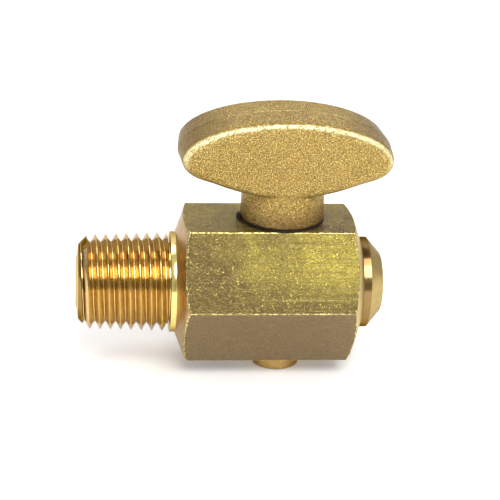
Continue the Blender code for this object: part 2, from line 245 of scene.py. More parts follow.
def body_blank():
    """The turned hexagonal bar as rows of points from the collar's face to the nose."""
    angle, hexagon = hexagon_columns()
    count = len(angle)
    one = np.ones(count)
    burr_in = BURR_IN[0] + BURR_IN[1] * jitter(angle, 38, 4.3)
    burr_out = BURR_OUT[0] + BURR_OUT[1] * jitter(angle, 38, 11.7)
    rows = []

    def row(x, radius):
        rows.append((np.broadcast_to(x, count) * one, np.broadcast_to(radius, count) * one))

    # collar
    c0, c1 = COLLAR_X
    row(c0, END_CORNER_R - 1.0)
    row(c0, COLLAR_R - 0.1)
    row(c0 + 0.03, COLLAR_R - 0.03)
    row(c0 + 0.1, COLLAR_R)
    row(c1 - 0.04, COLLAR_R)
    # inlet cone
    row(inlet_cone_x(np.float64(COLLAR_R + 0.04)), COLLAR_R + 0.04)
    for radius in np.linspace(COLLAR_R + 0.5, 9.5, 6):
        row(inlet_cone_x(np.float64(radius)), radius)
    # hexagon, its two edges worn
    row(inlet_cone_x(hexagon - burr_in), hexagon - burr_in)
    row(inlet_cone_x(hexagon) + 0.3 * burr_in, hexagon - 0.3 * burr_in)
    left = inlet_cone_x(hexagon) + 1.2 * burr_in
    right = outlet_cone_x(hexagon) - 1.2 * burr_out
    for part in np.linspace(0.0, 1.0, 25):
        row(left + (right - left) * part, hexagon)
    row(outlet_cone_x(hexagon) - 0.3 * burr_out, hexagon - 0.3 * burr_out)
    row(outlet_cone_x(hexagon - burr_out), hexagon - burr_out)
    # outlet cone
    for radius in np.linspace(9.3, NOSE_R + 0.06, 6):
        row(outlet_cone_x(radius), radius)
    # nose, its chamfer and its end
    row(NOSE_X + 0.04, NOSE_R)
    row(NOSE_X + 0.12, NOSE_R)
    row(NOSE_X + NOSE_LAND - 0.10, NOSE_R)
    row(NOSE_X + NOSE_LAND - 0.03, NOSE_R)
    row(NOSE_X + NOSE_LAND + 0.02, NOSE_R - 0.03)
    span = NOSE_END_X - NOSE_X - NOSE_LAND
    for part in (0.05, 0.35, 0.7, 0.93, 0.97):
        row(NOSE_X + NOSE_LAND + span * part, NOSE_R + (NOSE_END_R - NOSE_R) * part)
    row(NOSE_END_X, NOSE_END_R - 0.06)
    row(NOSE_END_X, 1.0)
    points = []
    for x, radius in rows:
        points.extend(zip(x, radius * np.cos(angle), radius * np.sin(angle)))
    faces = []
    for k in range(len(rows) - 1):
        a, b = k * count, (k + 1) * count
        faces.extend((a + i, a + (i + 1) % count, b + (i + 1) % count, b + i) for i in range(count))
    for k, x in ((0, c0), (len(rows) - 1, NOSE_END_X)):
        centre = len(points)
        points.append((x, 0.0, 0.0))
        faces.extend((k * count + i, k * count + (i + 1) % count, centre) for i in range(count))
    obj = new_object("valve_body_fine", mesh_from("valve_body_fine", points, faces))
    outward(obj)
    return obj


def thread_solid():
    """Tapered right-hand thread: the thread form wound into a closed solid and trimmed."""
    root = CREST_R - THREAD_DEPTH
    flank = THREAD_DEPTH * math.tan(math.radians(30))
    start = PITCH / 2 - CREST_FLAT / 2 - flank
    form = [
        (0.0, root),
        (start, root + 0.01),
        (start + 0.30 * flank, root + 0.29 * THREAD_DEPTH),
        (start + 0.62 * flank, root + 0.62 * THREAD_DEPTH),
        (start + 0.95 * flank, root + 0.945 * THREAD_DEPTH),
        (PITCH / 2 - 0.28 * CREST_FLAT, CREST_R),
        (PITCH / 2 + 0.28 * CREST_FLAT, CREST_R),
        (PITCH - start - 0.95 * flank, root + 0.945 * THREAD_DEPTH),
        (PITCH - start - 0.62 * flank, root + 0.62 * THREAD_DEPTH),
        (PITCH - start - 0.30 * flank, root + 0.29 * THREAD_DEPTH),
        (PITCH - start, root + 0.01),
    ]
    width = len(form)
    turns = math.ceil(COLLAR_X[1] / PITCH) + 3
    total = turns * width
    first = (THREAD_PHASE - 2.5) * PITCH
    points = []
    for i in range(THREAD_COLUMNS):
        angle = TAU * i / THREAD_COLUMNS - math.pi / 2
        lead = PITCH * i / THREAD_COLUMNS
        for q in range(total):
            step, radius = form[q % width]
            x = first + (q // width) * PITCH + step + lead
            radius += TAPER * x
            if abs(step - PITCH / 2) < CREST_FLAT:
                wobble = noise.noise(Vector((x * 2.0, math.cos(angle) * 14, math.sin(angle) * 14)))
                ragged = RAGGED_LAST if x > RAGGED_FROM_X else RAGGED
                radius -= ragged * (0.5 + wobble)
            points.append((x, radius * math.cos(angle), radius * math.sin(angle)))
    faces = []
    for i in range(THREAD_COLUMNS):
        wrap = width if i == THREAD_COLUMNS - 1 else 0
        following = 0 if wrap else i + 1
        for q in range(total - 1 - wrap):
            a, b = i * total + q, following * total + q + wrap
            faces.append((a, a + 1, b + 1, b))
    mesh = mesh_from("thread", points, faces)
    edited = bmesh.new()
    edited.from_mesh(mesh)
    ends = [edited.verts.new(Vector((first - PITCH, 0, 0)) * MM),
            edited.verts.new(Vector((first + (turns + 2) * PITCH, 0, 0)) * MM)]
    middle = THREAD_END_X / 2 * MM
    for edge in [e for e in edited.edges if e.is_boundary]:
        end = ends[0] if edge.verts[0].co.x < middle else ends[1]
        edited.faces.new((edge.verts[0], edge.verts[1], end))
    bmesh.ops.recalc_face_normals(edited, faces=edited.faces)
    edited.to_mesh(mesh)
    edited.free()
    obj = new_object("thread", mesh)
    over = CREST_R + PITCH
    trim = lathe("trim", [
        (0.0, COLLAR_X[1] - 0.2),
        (END_CORNER_R + 0.1, COLLAR_X[1] - 0.2),
        (END_CORNER_R + 0.1, THREAD_END_X + RUN_OUT),
        (over, THREAD_END_X),
        (over, LIP_HEIGHT + over - END_CORNER_R),
        (END_CORNER_R, LIP_HEIGHT),
        (END_CORNER_R - 0.1, LIP_HEIGHT - 0.04),
        (LIP_R + 0.35, LIP_HEIGHT * 0.4),
        (LIP_R, 0.0),
        (0.0, 0.0),
    ], steps=192, axis="X")
    boolean(obj, "INTERSECT", trim)
    return obj


def plug_radius(z):
    return PLUG_SMALL_R + PLUG_TAPER * (z - PLUG_SMALL_Z)


def valve_body():
    """Hexagonal bar with its thread, bored across for the plug and along for the flow."""
    body = body_blank()
    boolean(body, "UNION", thread_solid())
    top = HEX_HALF + 1.0
    boolean(body, "DIFFERENCE", lathe("plug_bore", [
        (0.0, top),
        (plug_radius(top) + FIT, top),
        (plug_radius(HEX_HALF) + FIT + 0.06, HEX_HALF + 0.02),
        (plug_radius(HEX_HALF - 0.12) + FIT, HEX_HALF - 0.12),
        (plug_radius(SHOULDER_Z) + FIT, SHOULDER_Z),
        (COUNTERBORE_R, SHOULDER_Z),
        (COUNTERBORE_R, -HEX_HALF + 0.15),
        (COUNTERBORE_R + 0.17, -HEX_HALF - 0.02),
        (COUNTERBORE_R + 0.17, -top),
        (0.0, -top),
    ], steps=144, centre=(STEM_X, 0, 0)))
    mouth = FLOW_R + MOUTH_CHAMFER + 0.5
    boolean(body, "DIFFERENCE", lathe("flow_bore", [
        (0.0, NOSE_END_X + 0.5),
        (mouth, NOSE_END_X + 0.5),
        (FLOW_R, NOSE_END_X - MOUTH_CHAMFER),
        (FLOW_R, MOUTH_CHAMFER),
        (mouth, -0.5),
        (0.0, -0.5),
    ], steps=96, axis="X"))
    return body


# ---------------------------------------------------------------- parts on the plug's axis
def rounded(outline, size, steps=3):
    """Round the corners of an outline; a point is (radius, height, how many sizes to round by)."""
    made = []
    count = len(outline)
    for i, (radius, height, mark) in enumerate(outline):
        here = np.array([radius, height])
        if not mark:
            made.append((radius, height))
            continue
        before = np.array(outline[i - 1][:2])
        after = np.array(outline[(i + 1) % count][:2])
        towards_before = (before - here) / np.linalg.norm(before - here)
        towards_after = (after - here) / np.linalg.norm(after - here)
        reach = size * mark
        for step in range(steps + 1):
            t = step / steps
            point = here + reach * ((1 - t) ** 2 * towards_before + t ** 2 * towards_after)
            made.append((float(point[0]), float(point[1])))
    return made


def plug():
    """Tapered plug with its flow hole, a flatted and tapped tail, and a serrated spigot on top."""
    key = lathe("plug_fine", rounded([
        (0.0, HUB_BOTTOM_Z - NEST, 0),
        (NECK_R, HUB_BOTTOM_Z - NEST, 1),
        (NECK_R, PLUG_TOP_Z, 0),
        (plug_radius(PLUG_TOP_Z), PLUG_TOP_Z, 1),
        (PLUG_SMALL_R, PLUG_SMALL_Z, 1),
        (TAIL_R, PLUG_SMALL_Z, 0),
        (TAIL_R, TAIL_END_Z, 1),
        (0.0, TAIL_END_Z, 0),
    ], 0.12), centre=(STEM_X, 0, 0))
    through = 10.0
    boolean(key, "DIFFERENCE", lathe("plug_port", [
        (0.0, through), (FLOW_R, through), (FLOW_R, -through), (0.0, -through),
    ], steps=96, axis="X", centre=(STEM_X, 0, 0)))
    boolean(key, "DIFFERENCE", lathe("tapped_hole", [
        (0.0, TAPPED_TOP_Z), (TAPPED_R, TAPPED_TOP_Z),
        (TAPPED_R, TAIL_END_Z - 1.0), (0.0, TAIL_END_Z - 1.0),
    ], steps=72, centre=(STEM_X, 0, 0)))
    cut = 3.0
    height = PLUG_SMALL_Z - TAIL_END_Z
    for side in (-1, 1):
        centre = (STEM_X + side * (TAIL_FLATS + cut) / 2, 0, PLUG_SMALL_Z - 0.5 - height / 2)
        boolean(key, "DIFFERENCE", block("flat", (cut, 4 * cut, height), centre))
    ring = 2 * SPIGOT_TEETH
    points = []
    for z in (HUB_BOTTOM_Z - 1.0, SPIGOT_TOP_Z):
        for i in range(ring):
            radius = SPIGOT_R - TOOTH_DEPTH * (i % 2)
            angle = TAU * i / ring
            points.append((STEM_X + radius * math.cos(angle), radius * math.sin(angle), z))
    faces = [(i, (i + 1) % ring, ring + (i + 1) % ring, ring + i) for i in range(ring)]
    faces += [tuple(range(ring)), tuple(range(ring, 2 * ring))]
    spigot = new_object("spigot", mesh_from("spigot", points, faces))
    outward(spigot)
    boolean(key, "UNION", spigot)
    return key


def washer(name, radii, top, thickness, flats=None):
    """Flat ring; flats is the distance from the axis to the two flat sides of a keyed hole."""
    inner, outer = radii
    ring = lathe(name, rounded([
        (inner, top, 1), (outer, top, 1), (outer, top - thickness, 1), (inner, top - thickness, 1),
    ], 0.08), centre=(STEM_X, 0, 0), loop=True)
    if flats:
        depth = inner - flats + 1.2
        width = 2 * math.sqrt((inner + 0.3) ** 2 - flats ** 2)
        for side in (-1, 1):
            centre = (STEM_X + side * (flats + depth / 2), 0, top - thickness / 2)
            boolean(ring, "UNION", block("key", (depth, width, thickness), centre))
    return ring


def plug_spring():
    """Compression spring: round wire swept along a helix, cut square at both ends."""
    top = SHOULDER_Z - NEST - THRUST_THICK - NEST - WIRE_R
    bottom = TAIL_END_Z + KEYED_THICK + WIRE_R
    rise = (top - bottom) / (TAU * COIL_TURNS)
    along, around = round(COIL_TURNS * 72), 16
    points, faces = [], []
    for i in range(along + 1):
        part = i / along
        angle = TAU * COIL_TURNS * part
        z = bottom + (top - bottom) * part
        centre = np.array([STEM_X + COIL_R * math.cos(angle), COIL_R * math.sin(angle), z])
        out = np.array([math.cos(angle), math.sin(angle), 0.0])
        tangent = np.array([-COIL_R * math.sin(angle), COIL_R * math.cos(angle), rise])
        tangent /= np.linalg.norm(tangent)
        up = np.cross(out, tangent)
        for j in range(around):
            turn = TAU * j / around
            points.append(centre + WIRE_R * (math.cos(turn) * out + math.sin(turn) * up))
    for i in range(along):
        for j in range(around):
            a, b = i * around, (i + 1) * around
            faces.append((a + j, a + (j + 1) % around, b + (j + 1) % around, b + j))
    faces.append(tuple(range(around)))
    faces.append(tuple(range(along * around, (along + 1) * around)))
    obj = new_object("plug_spring_fine", mesh_from("plug_spring_fine", points, faces))
    outward(obj)
    return obj


def retaining_screw():
    """Slotted fillister screw with a rounded head."""
    head_top = TAIL_END_Z - 2 * NEST
    screw = lathe("retaining_screw_fine", rounded([
        (0.0, SCREW_TOP_Z, 0),
        (SCREW_R, SCREW_TOP_Z, 2),
        (SCREW_R, head_top, 0),
        (HEAD_R, head_top, 0.8),
        (HEAD_R, HEAD_END_Z, 2.8),
        (0.0, HEAD_END_Z, 0),
    ], 0.12, 5), centre=(STEM_X, 0, 0))
    size = (3 * HEAD_R, SLOT_WIDTH, 2 * SLOT_DEPTH)
    boolean(screw, "DIFFERENCE", block("slot", size, (STEM_X, 0, HEAD_END_Z), SLOT_ANGLE))
    return screw


def stem_seal_ring():
    """Squeezed rubber ring; it bulges out past the hub on the inlet side."""
    middle = HEX_HALF + NEST + RING_THICK / 2
    lift_from, lift_over = HUB_R + 0.14, 0.16
    around, across = 240, 20
    points, faces = [], []
    for i in range(around):
        angle = TAU * i / around
        off = (angle - BULGE_ANGLE + math.pi) % TAU - math.pi
        bulge = math.exp(-(off / BULGE_SPREAD) ** 2)
        ripple = RING_RIPPLE * noise.noise(Vector((math.cos(angle) * 4, math.sin(angle) * 4, 2.0)))
        reach = RING_OUTER + ripple + RING_BULGE * bulge
        lift = RING_LIFT * bulge
        for j in range(across):
            turn = TAU * j / across
            c, s = math.cos(turn), math.sin(turn)
            r = (RING_INNER + reach) / 2 + (reach - RING_INNER) / 2 * math.copysign(abs(c) ** 0.6, c)
            z = middle + RING_THICK / 2 * math.copysign(abs(s) ** 0.7, s)
            if s > 0:
                z += lift * max(0.0, min(1.0, (r - lift_from) / lift_over)) * s
            points.append((STEM_X + r * math.cos(angle), r * math.sin(angle), z))
    for i in range(around):
        a, b = i * across, ((i + 1) % around) * across
        faces.extend((a + j, a + (j + 1) % across, b + (j + 1) % across, b + j) for j in range(across))
    obj = new_object("stem_seal_ring_fine", mesh_from("stem_seal_ring_fine", points, faces))
    outward(obj)
    return obj


# ---------------------------------------------------------------- the cast tee handle
def grip_solid():
    """Oval grip, flatter below than above: its outline is offset inwards to round the rim."""
    around = GRIP_POINTS
    outline = []
    for i in range(4 * around):
        angle = TAU * i / (4 * around)
        c, s = math.cos(angle), math.sin(angle)
        tip = max(0.0, min(1.0, (abs(c) - 0.72) / 0.28))
        power = 2.0 if s >= 0 else 1.6 + 0.4 * tip * tip * (3 - 2 * tip)
        across = abs(c) ** (2 / power)
        up = (max(0.0, 1 - across ** power)) ** (1 / power)
        outline.append((math.copysign(across * GRIP_LENGTH, c), math.copysign(up * GRIP_HEIGHT, s)))
    outline = np.array(outline)
    # even spacing along the outline
    closed = np.vstack([outline, outline[:1]])
    length = np.concatenate([[0], np.cumsum(np.linalg.norm(np.diff(closed, axis=0), axis=1))])
    even = np.linspace(0, length[-1], around, endpoint=False)
    outline = np.column_stack([np.interp(even, length, closed[:, k]) for k in range(2)])
    for _ in range(3):
        outline = (np.roll(outline, 1, axis=0) + 2 * outline + np.roll(outline, -1, axis=0)) / 4
    ahead, behind = np.roll(outline, -1, axis=0), np.roll(outline, 1, axis=0)
    tangent = ahead - behind
    tangent /= np.linalg.norm(tangent, axis=1)[:, None]
    normal = np.column_stack([tangent[:, 1], -tangent[:, 0]])
    profile = []
    for step in range(EDGE_STEPS + 1):
        turn = math.radians(90) * step / EDGE_STEPS
        profile.append((GRIP_ROUND * (1 - math.cos(turn)), GRIP_THICK - GRIP_ROUND * (1 - math.sin(turn))))
    points, rings = [], []
    sides = [(inset, -depth) for inset, depth in reversed(profile)] + [(0.0, 0.0)] + profile
    for inset, depth in sides:
        ring = outline - normal * inset
        squeeze = 1 - GRIP_CROWN * (depth / GRIP_THICK) ** 2
        rings.append(range(len(points), len(points) + around))
        points.extend((STEM_X + x * squeeze, depth, GRIP_Z + z) for x, z in ring)
    faces = []
    for low, high in zip(rings, rings[1:]):
        faces.extend((low[i], low[(i + 1) % around], high[(i + 1) % around], high[i]) for i in range(around))
    faces.append(tuple(rings[0]))
    faces.append(tuple(rings[-1]))
    obj = new_object("grip", mesh_from("grip", points, faces))
    outward(obj)
    return obj


def tee_handle():
    """Hub and grip as one casting, with a sand-cast skin and a worn parting line."""
    socket_top, socket_skin = SPIGOT_TOP_Z + 0.15, 0.55
    handle = lathe("tee_handle_fine", rounded([
        (0.0, HUB_TOP_Z, 0),
        (HUB_TOP_R, HUB_TOP_Z, 0),
        (HUB_R, HUB_BOTTOM_Z, 1),
        (0.0, HUB_BOTTOM_Z, 0),
    ], 0.22), centre=(STEM_X, 0, 0))
    boolean(handle, "UNION", grip_solid())
    boolean(handle, "DIFFERENCE", lathe("socket", [
        (0.0, socket_top),
        (SPIGOT_R + FIT, socket_top),
        (SPIGOT_R + FIT, HUB_BOTTOM_Z - 1.0),
        (0.0, HUB_BOTTOM_Z - 1.0),
    ], steps=96, centre=(STEM_X, 0, 0)))
    remesh = handle.modifiers.new("Remesh", "REMESH")
    remesh.mode = "VOXEL"
    remesh.voxel_size = CAST_VOXEL * MM
    apply_modifiers(handle)
    mesh = handle.data
    count = len(mesh.vertices)
    co = np.empty(count * 3)
    normals = np.empty(count * 3)
    mesh.vertices.foreach_get("co", co)
    mesh.vertex_normals.foreach_get("vector", normals)
    co, normals = co.reshape(-1, 3) / MM, normals.reshape(-1, 3)
    move = np.zeros(count)
    for i, (x, y, z) in enumerate(co):
        if math.hypot(x - STEM_X, y) < SPIGOT_R + FIT + socket_skin and z < socket_top + 0.45:
            continue
        here = Vector((x, y, z))
        coarse = noise.noise(here * 0.9)
        grain = noise.noise(here * 2.6) + 0.7 * noise.noise(here * 4.7)
        amount = CAST_GRAIN * (coarse + grain)
        flat = max(0.0, min(1.0, (abs(normals[i][1]) - 0.15) / 0.7))
        amount *= 0.35 + 0.65 * flat
        if z > GRIP_Z - 4.8 and abs(y) < 2 * SEAM_HALF:
            across = max(0.0, 1 - abs(y - SEAM_Y) / SEAM_HALF)
            reach = max(min((x - a) / 0.8, (b - x) / 0.8, 1.0) for a, b in SEAMS)
            upper = max(0.0, min(1.0, reach)) if z > GRIP_Z else 0.5
            worn = 0.75 + noise.noise(Vector((x * 1.3, 0.0, z * 1.3)))
            amount += SEAM_RISE * across * max(0.12, upper) * worn
        move[i] = amount
    co += normals * (move - CAST_SHRINK)[:, None]
    mesh.vertices.foreach_set("co", (co * MM).ravel())
    mesh.update()
    return handle


# ---------------------------------------------------------------- materials
def map_range(tree, value, low, high, to_low=0.0, to_high=1.0):
    """Map value from low..high to to_low..to_high, clamped, and return the node's output."""
    made = tree.nodes.new("ShaderNodeMapRange")
    limits = (("From Min", low), ("From Max", high), ("To Min", to_low), ("To Max", to_high))
    for key, number in limits:
        made.inputs[key].default_value = number
    tree.links.new(value, made.inputs["Value"])
    return made.outputs["Result"]


class Graph:
    """Short names for building a node material in millimetre coordinates."""

    def __init__(self, name):
        self.material = bpy.data.materials.new(name)
        self.material.use_nodes = True
        self.tree = self.material.node_tree
        self.shader = self.tree.nodes["Principled BSDF"]
        coordinates = self.node("ShaderNodeTexCoord")
        self.place = self.mapped(coordinates.outputs["Object"], (1000, 1000, 1000))
        self.facing = coordinates.outputs["Normal"]

    def node(self, kind, **settings):
        made = self.tree.nodes.new(kind)
        for key, value in settings.items():
            setattr(made, key, value)
        return made

    def link(self, output, target):
        self.tree.links.new(output, target)

    def mapped(self, vector, scale, turn=(0, 0, 0)):
        mapping = self.node("ShaderNodeMapping")
        mapping.inputs["Scale"].default_value = scale
        mapping.inputs["Rotation"].default_value = [math.radians(a) for a in turn]
        self.link(vector, mapping.inputs["Vector"])
        return mapping.outputs["Vector"]

    def noise(self, scale, detail=2.0, rough=0.5, vector=None, distortion=0.0):
        made = self.node("ShaderNodeTexNoise")
        made.inputs["Scale"].default_value = scale
        made.inputs["Detail"].default_value = detail
        made.inputs["Roughness"].default_value = rough
        made.inputs["Distortion"].default_value = distortion
        self.link(vector or self.place, made.inputs["Vector"])
        return made.outputs["Fac"]

    def part(self, vector, axis):
        """One component of a vector."""
        split = self.node("ShaderNodeSeparateXYZ")
        self.link(vector, split.inputs[0])
        return split.outputs[axis]

    def span(self, value, low, high, to_low=0.0, to_high=1.0):
        return map_range(self.tree, value, low, high, to_low, to_high)

    def math(self, operation, first, second=0.0):
        made = self.node("ShaderNodeMath", operation=operation)
        for socket, value in zip(made.inputs, (first, second)):
            if isinstance(value, (int, float)):
                socket.default_value = value
            else:
                self.link(value, socket)
        return made.outputs[0]

    def mix(self, factor, first, second):
        made = self.node("ShaderNodeMix", data_type="RGBA")
        sockets = [s for s in made.inputs if s.enabled]
        self.link(factor, sockets[0])
        for socket, value in zip(sockets[1:], (first, second)):
            if isinstance(value, tuple):
                socket.default_value = (*value, 1.0)
            else:
                self.link(value, socket)
        return [s for s in made.outputs if s.enabled][0]

    def bump(self, height, distance, before=None):
        made = self.node("ShaderNodeBump")
        made.inputs["Strength"].default_value = 1.0
        made.inputs["Distance"].default_value = distance
        self.link(height, made.inputs["Height"])
        if before:
            self.link(before, made.inputs["Normal"])
        return made.outputs["Normal"]

    def finish(self, colour, roughness, normal=None, metallic=1.0, tint=GRAZING_TINT, **settings):
        self.link(colour, self.shader.inputs["Base Color"])
        self.link(roughness, self.shader.inputs["Roughness"])
        if normal:
            self.link(normal, self.shader.inputs["Normal"])
        self.shader.inputs["Metallic"].default_value = metallic
        if metallic:
            self.shader.inputs["Specular Tint"].default_value = (*tint, 1)
        for key, value in settings.items():
            self.shader.inputs[key].default_value = value
        return self.material


def drawn_brass():
    """Flats of the drawn hexagonal bar: dull, tarnished in patches, with painted glints and dark
    pits. The upper side flats carry painted light, darker towards the inlet and brighter towards the
    outlet; the lower flats carry painted shade, browner towards the bottom, and faces that look down
    a lighter painted tone."""
    dull, bright, below = (0.165, 0.11, 0.048), (0.62, 0.51, 0.10), (0.155, 0.103, 0.046)
    stain, streak, pit = (0.28, 0.17, 0.08), (0.22, 0.15, 0.08), (0.11, 0.072, 0.026)
    painted_glint, painted_underside_tone, line = (0.92, 0.82, 0.24), (0.37, 0.27, 0.145), (0.62, 0.53, 0.17)
    g = Graph("drawn_brass")
    x, z = g.part(g.place, "X"), g.part(g.place, "Z")
    streaks = g.noise(1.0, 3, 0.6, g.mapped(g.place, (0.05, 2.6, 2.6)))
    patches = g.noise(0.20, 3, 0.6, distortion=0.6)
    mottle = g.noise(0.9, 4, 0.65)
    grain = g.noise(3.4, 3, 0.7)
    # painted light: on the upper side flats the colour darkens towards the inlet and brightens towards the
    # outlet
    ends = g.math("ADD", g.span(x, 15.0, 25.0, -1.1, 0.0), g.span(x, 27.0, 37.0, 0.0, 1.0))
    ends = g.math("MULTIPLY", ends, g.math("MULTIPLY", g.span(z, 0.0, 0.6), g.span(z, 9.51, 9.35)))
    low = g.math("ADD", z, g.span(mottle, 0.3, 0.7, -1.2, 1.2))
    tone = g.math("ADD", g.span(patches, 0.32, 0.68), ends)
    colour = g.mix(g.span(tone, -0.3, 1.3), dull, bright)
    colour = g.mix(g.span(mottle, 0.48, 0.72, 0.0, 0.55), colour, stain)
    colour = g.mix(g.span(streaks, 0.48, 0.68, 0.0, 0.5), colour, streak)
    # painted shade: the colour goes darker and browner towards the bottom of the bar, broken up by the
    # mottle
    colour = g.mix(g.span(low, 5.4, 0.8, 0.0, 0.95), colour, below)
    glint = g.noise(4.0, 2, 0.6, distortion=2.8)
    fine = g.noise(1.0, 2, 0.6, g.mapped(g.place, (4.0, 8.0, 8.0)))
    upward = g.span(g.part(g.facing, "Z"), -0.7, 0.0)
    pits = g.math("MULTIPLY", g.span(fine, 0.53, 0.35, 0.0, 0.55), g.span(upward, 0.0, 1.0, 0.3, 1.0))
    colour = g.mix(pits, colour, pit)
    # painted glints: bright specks mixed into the colour, mostly on faces that look up
    painted_glints = g.math("MULTIPLY", g.span(glint, 0.54, 0.61, 0.0, 0.6), g.span(upward, 0.0, 1.0, 0.12, 1.0))
    colour = g.mix(painted_glints, colour, painted_glint)
    # painted light: faces that look down are mixed towards a lighter brown tone of their own
    colour = g.mix(g.span(upward, 0.9, 0.1, 0.0, 0.4), colour, painted_underside_tone)
    lines = g.noise(1.0, 2, 0.6, g.mapped(g.place, (0.05, 7.0, 7.0)))
    bright_lines = g.math("MULTIPLY", g.span(lines, 0.60, 0.68, 0.0, 0.6), g.span(low, 5.0, 3.0))
    colour = g.mix(g.math("MULTIPLY", bright_lines, g.span(low, -1.0, 0.6)), colour, line)
    roughness = g.math("ADD", g.span(grain, 0.3, 0.7, 0.44, 0.32), g.span(glint, 0.52, 0.59, 0.0, -0.24))
    roughness = g.math("ADD", roughness, g.span(fine, 0.42, 0.58, 0.10, -0.12))
    normal = g.bump(lines, 0.007 * MM)
    normal = g.bump(g.span(grain, 0.30, 0.70), 0.036 * MM, normal)
    normal = g.bump(g.span(glint, 0.44, 0.66), 0.045 * MM, normal)
    normal = g.bump(fine, 0.02 * MM, normal)
    for turn, scale, edge in ((57, (3.6, 3.6, 0.20), 0.70), (10, (4.6, 4.6, 0.24), 0.71)):
        scratch = g.noise(1.0, 1, 0.5, g.mapped(g.place, scale, (turn, turn * 0.7, 0)))
        normal = g.bump(g.span(scratch, edge, edge + 0.05), 0.02 * MM, normal)
    return g.finish(colour, roughness, normal, tint=(0.95, 0.85, 0.90))


def worn_brass():
    """Knocked edges of the bar: dull metal with bright nicks."""
    dull, nicked = (0.34, 0.24, 0.10), (0.84, 0.74, 0.30)
    g = Graph("worn_edge_brass")
    nicks = g.noise(2.6, 2, 0.7)
    colour = g.mix(g.span(nicks, 0.44, 0.58), dull, nicked)
    roughness = g.span(nicks, 0.4, 0.6, 0.34, 0.18)
    return g.finish(colour, roughness, g.bump(g.noise(4.0, 2, 0.6), 0.05 * MM))


def turned_brass(name, colour_a, colour_b, rough, line_depth=0.0016, stretch=(14.0, 0.05, 0.05),
                 tint=GRAZING_TINT):
    """Turned brass between two colours, with fine lines left by the tool."""
    g = Graph(name)
    tarnish = g.noise(0.8, 3, 0.6)
    lines = g.noise(1.0, 2, 0.6, g.mapped(g.place, stretch))
    grain = g.noise(5.0, 2, 0.6)
    colour = g.mix(g.span(tarnish, 0.35, 0.7), colour_a, colour_b)
    roughness = g.math("ADD", g.span(lines, 0.3, 0.7, *rough), g.span(grain, 0.3, 0.7, -0.02, 0.03))
    normal = g.bump(lines, line_depth * MM)
    normal = g.bump(grain, 0.0025 * MM, normal)
    return g.finish(colour, roughness, normal, tint=tint)


def cast_brass():
    """Sand-cast brass, tumbled: bright grains over a slightly duller skin, worn bright along the
    grip's edges and the parting line, the upper edges also given a painted highlight; painted
    shade turns the grip's ends and the faces under it brown and darkens the hub round its foot."""
    skin, duller_skin, polish_and_highlight = (0.60, 0.415, 0.125), (0.53, 0.36, 0.105), (1.0, 0.88, 0.48)
    high_grain, low_grain = (0.96, 0.78, 0.30), (0.19, 0.115, 0.045)
    painted_tip_shade, painted_foot_shade, shade = (0.23, 0.15, 0.06), (0.20, 0.11, 0.05), (0.14, 0.085, 0.04)
    g = Graph("cast_brass")
    cloud = g.noise(0.35, 3, 0.6)
    grain = g.noise(6.0, 2, 0.65)
    fine = g.noise(9.0, 1, 0.5)
    x, y, z = (g.part(g.place, axis) for axis in "XYZ")
    sideways = g.math("ABSOLUTE", g.part(g.facing, "Y"))
    edge = g.math("MULTIPLY", g.span(sideways, 0.45, 0.62), g.span(sideways, 0.93, 0.80))
    edge = g.math("MULTIPLY", edge, g.span(z, 18.2, 19.4))
    seam = g.span(g.math("ABSOLUTE", g.math("SUBTRACT", y, SEAM_Y)), SEAM_HALF, 0.06)
    seam = g.math("MULTIPLY", seam, g.span(z, 19.0, 20.0))
    seam = g.math("MULTIPLY", seam, g.span(g.noise(0.5, 1, 0.5), 0.46, 0.54))
    # the bright edge colour is wear on the parting line, and wear together with a painted highlight on the
    # grip's upper edges
    worn = g.math("MAXIMUM", edge, seam)
    worn = g.math("MULTIPLY", worn, g.span(g.noise(2.2, 2, 0.6), 0.30, 0.52, 0.35, 1.0))
    colour = g.mix(g.span(cloud, 0.35, 0.65), skin, duller_skin)
    colour = g.mix(g.span(grain, 0.53, 0.63, 0.0, 0.9), colour, high_grain)
    colour = g.mix(g.span(grain, 0.33, 0.47, 0.75, 0.0), colour, low_grain)
    colour = g.mix(g.math("MULTIPLY", worn, 0.95), colour, polish_and_highlight)
    # painted shade: towards the grip's two tips its rim faces are mixed towards brown
    tips = g.span(g.math("ABSOLUTE", g.math("SUBTRACT", x, STEM_X)), 6.5, 12.0, 0.0, 0.75)
    colour = g.mix(g.math("MULTIPLY", tips, g.span(sideways, 0.5, 0.25)), colour, painted_tip_shade)
    # painted shade: the hub goes darker towards its foot, where it meets the body, broken up by the cloud
    foot_shade_mask = g.math("ADD", z, g.span(cloud, 0.3, 0.7, -0.7, 0.7))
    colour = g.mix(g.span(foot_shade_mask, 10.0, 13.2, 0.75, 0.0), colour, painted_foot_shade)
    under = g.math("MULTIPLY", g.span(g.part(g.facing, "Z"), -0.45, -0.95), g.span(z, 12.0, 13.5))
    colour = g.mix(g.math("MULTIPLY", under, 0.7), colour, shade)
    roughness = g.math("SUBTRACT", g.span(fine, 0.3, 0.7, 0.17, 0.28), g.math("MULTIPLY", worn, 0.05))
    raised = g.math("MULTIPLY", g.span(grain, 0.25, 0.75), g.span(worn, 0.0, 1.0, 1.0, 0.35))
    normal = g.bump(raised, 0.18 * MM)
    normal = g.bump(fine, 0.04 * MM, normal)
    return g.finish(colour, roughness, normal, tint=(0.72, 0.66, 0.62))


def spring_steel():
    """Drawn spring wire."""
    g = Graph("spring_steel")
    drawn = g.noise(3.0, 2, 0.6)
    colour = g.mix(g.span(drawn, 0.3, 0.7), (0.58, 0.58, 0.60), (0.46, 0.46, 0.49))
    roughness = g.span(drawn, 0.3, 0.7, 0.22, 0.34)
    return g.finish(colour, roughness, g.bump(g.noise(9.0, 2), 0.004 * MM))


